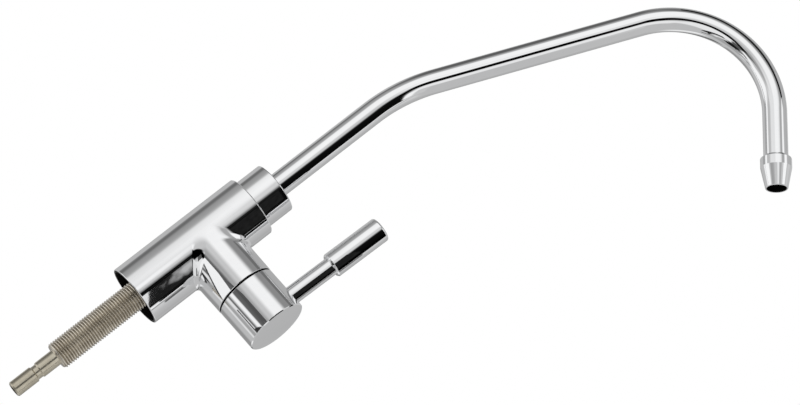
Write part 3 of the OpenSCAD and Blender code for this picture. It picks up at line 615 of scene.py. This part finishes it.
def thread_form():
    """A screw thread: a sheet wound on a helix, its rows along the thread."""
    tree, start, end = form_group("screw_thread", (
        ("Major radius", "Float", 0.005), ("Pitch", "Float", 0.001), ("Depth", "Float", 0.0005),
        ("Lower end", "Float", 0.0), ("Upper end", "Float", 0.01), ("End bevel", "Float", 0.0008),
        ("Sides", "Int", 72), ("Rows a turn", "Int", 8), ("Material", "Material", None),
    ))
    # Shares of the pitch, from the middle of the root: where the root's flat ends and the crest's starts
    root_flat, crest_flat = 0.09, 0.42
    value = start.outputs
    major, pitch, lower, upper = (value[k] for k in ("Major radius", "Pitch", "Lower end", "Upper end"))
    length = math_node(tree, "SUBTRACT", upper, lower)
    full = math_node(tree, "CEIL", math_node(tree, "DIVIDE", length, pitch))
    turns = math_node(tree, "ADD", full, 1.0)
    rows = math_node(tree, "MULTIPLY", turns, value["Rows a turn"])
    sheet = add(tree, "GeometryNodeMeshGrid", inputs={
        "Size X": 1.0, "Size Y": 1.0,
        "Vertices X": math_node(tree, "ADD", value["Sides"], 1.0),
        "Vertices Y": math_node(tree, "ADD", rows, 1.0),
    }).outputs[0]
    position = add(tree, "GeometryNodeInputPosition").outputs[0]
    spot = add(tree, "ShaderNodeSeparateXYZ", inputs={0: position}).outputs
    around = math_node(tree, "ADD", spot[0], 0.5)
    turn = math_node(tree, "MULTIPLY", math_node(tree, "ADD", spot[1], 0.5), turns)
    rise = math_node(tree, "SUBTRACT", math_node(tree, "ADD", turn, around), 1.0)
    height = math_node(tree, "MULTIPLY_ADD", rise, pitch, lower)
    height = math_node(tree, "MINIMUM", math_node(tree, "MAXIMUM", height, lower), upper)
    flank = math_node(tree, "SUBTRACT", math_node(tree, "FRACT", turn), 0.5)
    root = spread(tree, math_node(tree, "ABSOLUTE", flank), root_flat, crest_flat, 1.0, 0.0)
    radius = math_node(tree, "SUBTRACT", major, math_node(tree, "MULTIPLY", root, value["Depth"]))
    rest = math_node(tree, "SUBTRACT", major, value["End bevel"])
    for way in (math_node(tree, "SUBTRACT", height, lower), math_node(tree, "SUBTRACT", upper, height)):
        radius = math_node(tree, "MINIMUM", radius, math_node(tree, "ADD", rest, way))
    angle = math_node(tree, "MULTIPLY", around, 2 * math.pi)
    place = add(tree, "ShaderNodeCombineXYZ", inputs={
        0: math_node(tree, "MULTIPLY", radius, math_node(tree, "COSINE", angle)),
        1: math_node(tree, "MULTIPLY", radius, math_node(tree, "SINE", angle)),
        2: height,
    }).outputs[0]
    kept = add(tree, "GeometryNodeStoreNamedAttribute", {"data_type": "FLOAT", "domain": "POINT"}, {
        "Geometry": sheet, "Name": "thread_root", "Value": root,
    }).outputs[0]
    wound = add(tree, "GeometryNodeSetPosition", inputs={"Geometry": kept, "Position": place}).outputs[0]
    closed = add(tree, "GeometryNodeMergeByDistance", inputs={"Geometry": wound, "Distance": 2e-6})
    whole = add(tree, "GeometryNodeJoinGeometry")
    tree.links.new(closed.outputs[0], whole.inputs[0])
    tree.links.new(value["Geometry"], whole.inputs[0])
    link(tree, dress(tree, whole.outputs[0], value["Material"]), end.inputs[0])
    return tree


def tube_form():
    """A tube swept along a path, with an inner wall."""
    tree, start, end = form_group("bent_tube", (
        ("Outer radius", "Float", 0.005), ("Wall", "Float", 0.001),
        ("Sides", "Int", 96), ("Material", "Material", None),
    ))
    value = start.outputs
    path = add(tree, "GeometryNodeMeshToCurve", inputs={0: value["Geometry"]}).outputs[0]
    inner = math_node(tree, "SUBTRACT", value["Outer radius"], value["Wall"])
    whole = add(tree, "GeometryNodeJoinGeometry")
    for radius, turned_in in ((value["Outer radius"], False), (inner, True)):
        size = {"Resolution": value["Sides"], "Radius": radius}
        ring = add(tree, "GeometryNodeCurvePrimitiveCircle", inputs=size).outputs[0]
        wall = add(tree, "GeometryNodeCurveToMesh", inputs={"Curve": path, "Profile Curve": ring}).outputs[0]
        if turned_in:
            wall = add(tree, "GeometryNodeFlipFaces", inputs={0: wall}).outputs[0]
        tree.links.new(wall, whole.inputs[0])
    link(tree, dress(tree, whole.outputs[0], value["Material"]), end.inputs[0])
    return tree


def grown(name, base, form, values):
    """The plain mesh that a form makes from a base mesh."""
    seed = put_in_scene(name + "_seed", base)
    modifier = seed.modifiers.new("form", "NODES")
    modifier.node_group = form
    for item in form.interface.items_tree:
        if item.in_out == "INPUT" and item.name in values:
            modifier[item.identifier] = values[item.name]
    graph = bpy.context.evaluated_depsgraph_get()
    made = seed.evaluated_get(graph)
    mesh = bpy.data.meshes.new_from_object(made, preserve_all_data_layers=True, depsgraph=graph)
    bpy.data.objects.remove(seed)
    mesh.name = name
    return put_in_scene(name, mesh)


def threaded_shank():
    """Threaded shank with its relief in the skirt, stem and grip groove."""
    shell = Shell()
    bevelled, relieved = SHANK_R - SHANK_BEVEL, SHANK_R - RELIEF_DEPTH
    relief = SKIRT_DEPTH - RELIEF_H
    groove = THREAD_END - GROOVE_FROM_THREAD
    groove_foot, groove_r = groove - GROOVE_LEN, STEM_R - GROOVE_DEPTH
    lathe(shell, UPRIGHT, [
        (SHANK_BORE_R, STEM_END, 0.1), (STEM_R - STEM_BEVEL, STEM_END, 0.1),
        (STEM_R, STEM_END + STEM_BEVEL, 0.2), (STEM_R, groove_foot, 0.1),
        (groove_r, groove_foot + GROOVE_DEPTH, 0.15),
        (groove_r, groove - GROOVE_DEPTH, 0.15), (STEM_R, groove, 0.1),
        (STEM_R, THREAD_END, 0.2), (bevelled, THREAD_END),
    ], 72)
    lathe(shell, UPRIGHT, [
        (bevelled, relief), (relieved, relief + RELIEF_DEPTH, 0.05), (relieved, SKIRT_DEPTH, 0.05),
        (SHANK_R, SKIRT_DEPTH + RELIEF_DEPTH, 0.05), (SHANK_R, SHANK_TOP, 0.2),
        (SHANK_BORE_R, SHANK_TOP, 0.1), (SHANK_BORE_R, STEM_END, 0.1),
    ], 72)
    plain = shell.build("shank_plain", NICKEL)
    piece = grown("shank_threaded", plain.data, thread_form(), {
        "Major radius": SHANK_R * MM, "Pitch": THREAD_PITCH * MM, "Depth": THREAD_DEPTH * MM,
        "Lower end": THREAD_END * MM, "Upper end": relief * MM, "End bevel": SHANK_BEVEL * MM,
        "Sides": 72, "Rows a turn": 8, "Material": NICKEL,
    })
    bpy.data.objects.remove(plain)
    with edited(piece.data) as bm:
        bmesh.ops.remove_doubles(bm, verts=bm.verts, dist=3e-6)
    piece.data.set_sharp_from_angle(angle=math.radians(40))
    return finish_piece(piece, "base", "nickel_plate", "threaded_shank")


def spout_tube():
    """Gooseneck swept from the spout's foot to its end in the tip, with closed rims."""
    # A ring of points on the riser, so that the first bend's shading doesn't reach the foot
    riser_ring = 80.0
    end = TOP_BEND[-1] + (DROP_LEN - TIP_LEN + TIP_GRIP) * DROP
    spots = [(0.0, TUBE_FOOT), (0.0, riser_ring), *LEAN_BEND, *TOP_BEND, end]
    path = bpy.data.meshes.new("spout_path")
    path.from_pydata(
        [(x * MM, 0.0, z * MM) for x, z in spots], [(i, i + 1) for i in range(len(spots) - 1)], [],
    )
    piece = grown("spout_gooseneck", path, tube_form(), {
        "Outer radius": TUBE_R * MM, "Wall": TUBE_WALL * MM, "Sides": 96, "Material": CHROME,
    })
    with edited(piece.data) as bm:
        open_edges = [e for e in bm.edges if e.is_boundary]
        bmesh.ops.bridge_loops(bm, edges=[e for e in open_edges if e.verts[0].co.z < RISER_TOP * MM])
        bmesh.ops.bridge_loops(bm, edges=[e for e in bm.edges if e.is_boundary])
        bmesh.ops.recalc_face_normals(bm, faces=bm.faces)
    piece.data.set_sharp_from_angle(angle=math.radians(50))
    return finish_piece(piece, "spout", "chrome_plate", "spout_tube")


tap_body()
threaded_shank()
spout_collar()
spout_tube()
outlet_tip()
handle_hub()
lever_rod()
lever_grip()

for material, names in (
    (BRASS_X, ("cartridge_housing", "valve_spindle")),
    (BRASS_Z, ("spout_foot",)),
    (RUBBER, ("shank_seal_ring", "cartridge_gasket", "seat_seal", "spout_seal_rings", "spindle_seal_rings")),
    (ACETAL, ("guide_bush", "slip_washer", "spindle_washer")),
    (CERAMIC, ("fixed_disc", "moving_disc")),
    (STEEL, ("retaining_ring", "grub_screw")),
):
    for name in names:
        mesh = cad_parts[name].data
        mesh.materials.clear()
        mesh.materials.append(material)


# The photograph's view, in metres, degrees and pixels: turned from the front towards +X, tilted up, rolled
SET_MIDDLE = np.array([0.045, 0.0, 0.11])
CAMERA_TURN, CAMERA_TILT, CAMERA_ROLL = 17.71, 13.75, -51.88
CAMERA_AZIMUTH = CAMERA_TURN - 90
CAMERA_DISTANCE, PIXELS_PER_METRE = 1.2, 2640.0
PHOTO_SIZE, MIDDLE_PIXEL = np.array([800, 405]), np.array([435.84, 205.12])
SENSOR_WIDTH = 36.0

# Sizes of the studio in metres, and cards near the tap in millimetres
TENT_R, FLOOR_R, FLOOR_Z = 6.0, 5.0, -0.19
LAMP_AIM = np.array([0.045, 0.0, 0.08])
CARD_DISTANCE, CARD_FOOT, CARD_TOP = 120.0, -70.0, 92.5
STRIP_X, ARCH_STRIP_Z = 58.0, 300.0

# Share of the light that the plate gives back, and the display's curve
PLATE_SHARE, DISPLAY_CURVE = 0.92, 2.2

# Levels of the tent by direction, in degrees: azimuth from +X towards +Y, height above the horizon
FIRST_AZIMUTH, LAST_AZIMUTH = -265.0, 95.0
WALLS = (
    (-265, 0.62), (-224, 0.7), (-197, 0.7), (-190, 0.48), (-182, 0.4), (-175, 0.43), (-166, 0.56),
    (-150, 0.61), (-143, 0.68), (-137, 0.77), (-130, 0.86), (-122, 0.93), (-110, 0.96), (-100, 0.93),
    (-94, 0.87), (-84, 0.8), (-77, 0.83), (-71, 0.77), (-66, 0.55), (-61, 0.25), (-55, 0.08),
    (-5, 0.06), (0, 0.1), (2.5, 0.9), (8, 0.94), (10.5, 0.42), (13, 0.8), (30, 0.72),
    (62, 0.66), (72, 0.69), (80, 0.62), (95, 0.6),
)
# The dark wall leans: degrees of azimuth for a degree of height, between two heights and two azimuths
DARK_LEAN, DARK_HEIGHTS, DARK_AZIMUTHS, DARK_SOFT = 0.65, (-6.0, 30.0), (-90, 10), 10
# Cards, each over those before it: azimuth from, to, softness; height from, to, softness; level
CARDS = (
    (-265, -205, 8, 32, 95, 8, 0.66),
    (-208, -140, 12, 40, 95, 9, 0.42),
    (-215, -160, 10, 24, 38, 5, 0.36),
    (-132, -62, 8, 53, 95, 9, 0.6),
    (-137, -92, 6, 10, 50, 9, 0.95),
    (-152, -102, 6, 48, 95, 10, 0.53),
    (-84, -66, 4, 15, 56, 5, 0.64),
    (-70, 0, 6, 60, 95, 6, 0.6),
    (-20, 100, 8, 28, 95, 6, 0.77),
    (40, 100, 10, 30, 50, 6, 0.74),
    (40, 100, 10, 52, 66, 5, 0.64),
    (-25, 100, 8, 64, 95, 4, 0.68),
    (-64, -22, 4, 35, 70, 3, 0.98),
    (-270, 100, 1, -95, -6, 2.5, 0.72),
    (-197, -137, 5, -62, -27, 5, 0.97),
    (-205, -184, 3, -30, -18, 3, 0.62),
    (-181, -164, 3, -32, -19, 3, 0.97),
    (-132, -78, 6, -40, 5, 8, 0.76),
    (-140, -112, 6, -20, 8, 6, 0.88),
    (-128, -80, 5, -36, -15, 7, 0.62),
    (-60, -36, 4, -28, 1, 3, 0.9),
    (-105, -45, 6, -58, -22, 4, 0.9),
    (-121, -100, 4, -47, -30, 3, 0.38),
    (-140, -104, 5, -58, -47.5, 2.5, 0.95),
    (-270, 100, 1, -95, -70, 3, 0.62),
    (-172, -138, 6, -72, -66, 2, 0.88),
    (-226, -206, 4, -71, -65, 2, 0.86),
    (-266, -238, 5, -42, -6, 8, 0.56),
    (50, 68, 4, -50, -14, 4, 0.92),
    (80, 91, 3, -40, 0, 4, 0.36),
    (-36, -4, 3, -10, 1, 1, 0.76),
    (-46, -14, 3, -3.5, 1.5, 1.2, 0.95),
    (-93, -81, 4, 4, 10, 2, 0.96),
    (-79.5, -59, 2, -6, 7, 1.5, 0.01),
    (-112.5, -96, 2, -60, -40, 3, 0.33),
    (-109.5, -102, 1.5, -40, -28, 2, 0.05),
    (-121, -90, 3, -72, -59, 3, 0.12),
    (-132, -70, 5, -86, -70, 3, 0.05),
)
# Dark edges over the cards: azimuth from, to; height, slope, curve; half width, growth, softness; level
EDGES = (
    (-110, -59.5, 1.3, 0.58, -0.0045, 12.0, -0.1, 1.5, 0.02),
    (-99, -76, -0.5, 0.92, 0.0, 6.0, 0.0, 1.5, 0.02),
    (-145, -122, -62.8, 0.08, 0.0, 2.0, 0.0, 1.0, 0.42),
)
EDGE_END_SOFT = 4


# Studio
def grey(level):
    """The light whose reflection in the plate shows at this display level."""
    light = min(1.0, level**DISPLAY_CURVE / PLATE_SHARE)
    return (light, light, light, 1.0)


def ramp(tree, value, low, high, stops):
    """Levels by position between low and high."""
    node = add(tree, "ShaderNodeValToRGB", inputs={0: spread(tree, value, low, high, 0.0, 1.0)})
    line = node.color_ramp
    for i, (spot, level) in enumerate(stops):
        where = (spot - low) / (high - low)
        mark = line.elements[i] if i < 2 else line.elements.new(where)
        mark.position = where
        mark.color = grey(level)
    return node.outputs[0]


def soft_step(tree, value, at, soft):
    inputs = {0: value, 1: at - soft, 2: at + soft, 3: 0.0, 4: 1.0}
    return add(tree, "ShaderNodeMapRange", {"interpolation_type": "SMOOTHSTEP"}, inputs).outputs[0]


def between(tree, value, low, high, soft):
    return math_node(tree, "SUBTRACT", soft_step(tree, value, low, soft), soft_step(tree, value, high, soft))


def over(tree, share, colour, level):
    return mix_colour(tree, share, colour, grey(level))


def empty_tree(owner):
    owner.use_nodes = True
    owner.node_tree.nodes.clear()
    return owner.node_tree


def reflected_only(piece):
    for kind in ("camera", "diffuse", "transmission", "volume_scatter", "shadow"):
        setattr(piece, "visible_" + kind, False)


def tent_directions(tree):
    """Azimuth and height of a place on the tent, in degrees."""
    way = add(tree, "ShaderNodeVectorMath", {"operation": "NORMALIZE"}, {0: object_place(tree)}).outputs[0]
    x, y, z = add(tree, "ShaderNodeSeparateXYZ", inputs={0: way}).outputs
    degrees = 180 / math.pi
    azimuth = math_node(tree, "MULTIPLY", math_node(tree, "ARCTAN2", y, x), degrees)
    azimuth = math_node(tree, "WRAP", azimuth, LAST_AZIMUTH, FIRST_AZIMUTH)
    return azimuth, math_node(tree, "MULTIPLY", math_node(tree, "ARCSINE", z), degrees)


def tent_colour(tree):
    """Walls, the cards on them, and the dark edges over the cards."""
    azimuth, height = tent_directions(tree)
    shifts = [DARK_LEAN * (CAMERA_TILT - h) for h in DARK_HEIGHTS]
    lean = spread(tree, height, *DARK_HEIGHTS, *shifts)
    slant = math_node(tree, "MULTIPLY", lean, between(tree, azimuth, *DARK_AZIMUTHS, DARK_SOFT))
    colour = ramp(tree, math_node(tree, "ADD", azimuth, slant), FIRST_AZIMUTH, LAST_AZIMUTH, WALLS)
    for left, right, side_soft, low, high, soft, level in CARDS:
        wide = between(tree, azimuth, left, right, side_soft)
        share = math_node(tree, "MULTIPLY", wide, between(tree, height, low, high, soft))
        colour = over(tree, share, colour, level)
    for left, right, start, slope, curve, half, growth, soft, level in EDGES:
        run = math_node(tree, "SUBTRACT", azimuth, right)
        bent = math_node(tree, "MULTIPLY", run, math_node(tree, "MULTIPLY_ADD", run, curve, slope))
        off = math_node(tree, "SUBTRACT", math_node(tree, "SUBTRACT", height, start), bent)
        off = math_node(tree, "MULTIPLY_ADD", run, growth, math_node(tree, "ABSOLUTE", off))
        inside = math_node(tree, "SUBTRACT", 1.0, soft_step(tree, off, half, soft))
        share = math_node(tree, "MULTIPLY", inside, between(tree, azimuth, left, right, EDGE_END_SOFT))
        colour = over(tree, share, colour, level)
    return colour


def make_tent():
    """A studio tent round the set, seen only in reflections."""
    mesh = bpy.data.meshes.new("studio_tent")
    with edited(mesh) as bm:
        bmesh.ops.create_uvsphere(bm, u_segments=48, v_segments=24, radius=TENT_R)
    tent = put_in_scene("studio_tent", mesh)
    tent.location = SET_MIDDLE
    reflected_only(tent)
    material = bpy.data.materials.new("tent_cloth")
    tree = empty_tree(material)
    glow = add(tree, "ShaderNodeEmission", inputs={"Color": tent_colour(tree), "Strength": 1.0}).outputs[0]
    link(tree, glow, add(tree, "ShaderNodeOutputMaterial").inputs["Surface"])
    mesh.materials.append(material)


def paper_cloud(tree, where, fibres, middle, size):
    """A cloudy patch round a place, as a share: full near the middle, ragged at its border."""
    inputs = {
        "Vector": where,
        "Location": [-m / s for m, s in zip(middle, size)],
        "Scale": [1 / (s * MM) for s in size],
    }
    inside = add(tree, "ShaderNodeMapping", inputs=inputs).outputs[0]
    near = add(tree, "ShaderNodeTexGradient", {"gradient_type": "SPHERICAL"}, {"Vector": inside})
    ragged = math_node(tree, "ADD", near.outputs["Fac"], noise(tree, fibres, 25.0))
    return spread(tree, ragged, 0.75, 1.35, 0.0, 1.0)


def reflected_card(name, points, faces, bright, dim, cloud=None):
    """A paper card near the tap, seen only in reflections and from its face. Cloud: middle, size, level."""
    mesh = bpy.data.meshes.new(name)
    mesh.from_pydata(np.array(points) * MM, [], faces)
    material = bpy.data.materials.new(name + "_paper")
    tree = empty_tree(material)
    where = object_place(tree)
    fibres = stretched(tree, where, 12.0)
    paper = mix_colour(tree, noise(tree, fibres, 40.0), grey(bright), grey(dim))
    if cloud:
        middle, size, level = cloud
        paper = over(tree, paper_cloud(tree, where, fibres, middle, size), paper, level)
    glow = add(tree, "ShaderNodeEmission", inputs={"Color": paper, "Strength": 1.0}).outputs[0]
    clear = add(tree, "ShaderNodeBsdfTransparent").outputs[0]
    behind = add(tree, "ShaderNodeNewGeometry").outputs["Backfacing"]
    side = add(tree, "ShaderNodeMixShader", inputs={0: behind, 1: glow, 2: clear}).outputs[0]
    link(tree, side, add(tree, "ShaderNodeOutputMaterial").inputs["Surface"])
    mesh.materials.append(material)
    card = put_in_scene(name, mesh)
    reflected_only(card)


def strip_faces(count):
    """Faces between two rows of points."""
    return [(i + 1, i, i + count, i + count + 1) for i in range(count - 1)]


def card_beside(name, sweep, low, high, *paper):
    """An upright card at one distance from where the barrel shows it, over a sweep of azimuths."""
    way, facing = np.radians(sweep), np.radians((sweep + CAMERA_AZIMUTH) / 2)
    on_barrel = BARREL_R * np.stack([np.cos(facing), np.sin(facing)])
    spot = on_barrel + CARD_DISTANCE * np.stack([np.cos(way), np.sin(way)])
    rows = [np.stack([*spot, z + 0 * sweep]).T for z in (low, high)]
    reflected_card(name, np.concatenate(rows), strip_faces(len(sweep)), *paper)


def make_barrel_cards():
    """A white card low beside the foot, a dark cloth over it with its end, and a grey card beside that."""
    sweep = np.linspace(-54, -8, 15)
    # The barrel shows the cloth's lower border at these heights, and a reflected line of sight climbs to it
    border, climb = np.linspace(4.5, 0.8, len(sweep)), math.radians(8.6)
    top = border + CARD_DISTANCE * math.tan(climb)
    cloud = (101.8, -84.1, 43.0), (70.0, 70.0, 18.0), 0.7
    card_beside("low_card", sweep, CARD_FOOT, top, 0.93, 0.8)
    card_beside("band_cloth", sweep, top, CARD_TOP, 0.17, 0.08, cloud)
    card_beside("band_end", np.linspace(-9, 3.5, 6), 24.0, 46.0, 0.12, 0.06)
    card_beside("side_card", np.linspace(11.5, 20, 6), 26.0, CARD_TOP, 0.4, 0.34)


def make_near_cards():
    """Cards under branch and hub, at the level of the deck, and a black strip before the lever."""
    white = [(-13.1, -45), (3.0, -45), (14.8, -34), (16.2, -24), (17.7, -12), (17.9, -4.6)]
    edge = [(-15.3, -45), (-13.1, -45), (17.9, -4.6), (15.7, -4.6)]
    flag = [(5.5, -80), (26, -80), (26, -52), (5.5, -52)]
    line = [(24, -14.6), (40, -14.6), (40, -12.2), (24, -12.2)]
    hook = [(32.6, -36), (40, -36), (40, -14.6), (34.2, -14.6)]
    for name, outline, bright, dim in (
        ("branch_card", white, 0.97, 0.93), ("branch_card_edge", edge, 0.3, 0.25),
        ("hub_flag", flag, 0.34, 0.3), ("hub_line", line, 0.36, 0.3), ("hub_hook", hook, 0.24, 0.2),
    ):
        reflected_card(name, [(x, y, 0) for x, y in outline], [range(len(outline))], bright, dim)
    strip = [(STRIP_X, y, z) for y, z in ((-7.5, 44.0), (-7.5, 95.0), (0.2, 95.0), (0.2, 44.0))]
    reflected_card("lever_strip", strip, [range(len(strip))], 0.05, 0.02)


def make_arch_strip():
    """A dark strip over the spout's arch, which draws the line along the arch's outer side."""
    along = (-14, 3, 24, 43, 60, 76, 93, 110)
    middle = (-1, -3, -4.5, -10.4, -15.5, -18.5, -19, -17.5)
    half = (14, 17, 15, 13, 11.8, 11, 11, 9)
    rows = [(x, m + side * h, ARCH_STRIP_Z) for side in (-1, 1) for x, m, h in zip(along, middle, half)]
    reflected_card("arch_strip", rows, strip_faces(len(along)), 0.14, 0.1)


def make_floor():
    """Plain pale floor, a little below the inlet."""
    mesh = bpy.data.meshes.new("floor")
    with edited(mesh) as bm:
        bmesh.ops.create_circle(bm, cap_ends=True, segments=96, radius=FLOOR_R)
    floor = put_in_scene("floor", mesh)
    floor.location = (0.0, 0.0, FLOOR_Z)
    floor.visible_glossy = False
    pale, shade = (0.86, 0.86, 0.86), (0.84, 0.84, 0.84)
    mesh.materials.append(moulded("floor_card", pale, shade, 0.7, 0.85, 900.0, 0.02))


def make_world():
    """White where camera, metal and glass see it, and a little dimmer as light."""
    world = bpy.data.worlds.new("white_surround")
    bpy.context.scene.world = world
    tree = empty_tree(world)
    path = add(tree, "ShaderNodeLightPath").outputs
    seen = math_node(tree, "ADD", path["Is Camera Ray"], path["Is Glossy Ray"])
    seen = math_node(tree, "ADD", seen, path["Is Transmission Ray"], clamp=True)
    plain, white = (
        add(tree, "ShaderNodeBackground", inputs={"Color": (1, 1, 1, 1), "Strength": strength}).outputs[0]
        for strength in (0.85, 1.0)
    )
    both = add(tree, "ShaderNodeMixShader", inputs={0: seen, 1: plain, 2: white}).outputs[0]
    link(tree, both, add(tree, "ShaderNodeOutputWorld").inputs["Surface"])


def unit(vector):
    return vector / np.linalg.norm(vector)


def stand(holder, at, right, up, back):
    """Places a lamp or camera by its own three directions."""
    turn = Matrix(np.stack([right, up, back], -1).tolist()).to_4x4()
    holder.matrix_world = Matrix.Translation(at.tolist()) @ turn


def make_lamp(name, at, size, power):
    lamp = bpy.data.lights.new(name, "AREA")
    lamp.size, lamp.energy = size, power
    holder = put_in_scene(name, lamp)
    back = unit(np.array(at) - LAMP_AIM)
    right = unit(np.cross(Z, back))
    stand(holder, np.array(at), right, np.cross(back, right), back)
    holder.visible_glossy = False


def make_camera():
    """The photograph's view: from low in front, turned on its side."""
    turn, tilt, roll = (math.radians(a) for a in (CAMERA_TURN, CAMERA_TILT, CAMERA_ROLL))
    back = np.array([math.sin(turn) * math.cos(tilt), -math.cos(turn) * math.cos(tilt), -math.sin(tilt)])
    level = unit(Z - back * back[2])
    across = np.cross(level, back)
    right = math.cos(roll) * across - math.sin(roll) * level
    up = math.sin(roll) * across + math.cos(roll) * level
    shift = (MIDDLE_PIXEL - PHOTO_SIZE / 2) / PIXELS_PER_METRE
    lens = bpy.data.cameras.new("camera")
    lens.sensor_fit, lens.sensor_width = "HORIZONTAL", SENSOR_WIDTH
    lens.lens = SENSOR_WIDTH * PIXELS_PER_METRE * CAMERA_DISTANCE / float(PHOTO_SIZE[0])
    lens.clip_start, lens.clip_end = 0.05, 50.0
    camera = put_in_scene("camera", lens)
    at = SET_MIDDLE + CAMERA_DISTANCE * back - shift[0] * right + shift[1] * up
    stand(camera, at, right, up, back)
    bpy.context.scene.camera = camera


make_tent()
make_barrel_cards()
make_near_cards()
make_arch_strip()
make_floor()
make_world()
make_lamp("key_lamp", (-0.7, -1.1, 1.3), 1.2, 14.0)
make_lamp("fill_lamp", (1.2, -0.3, 1.1), 1.0, 6.0)
make_camera()
bpy.context.scene.view_settings.view_transform = "Standard"
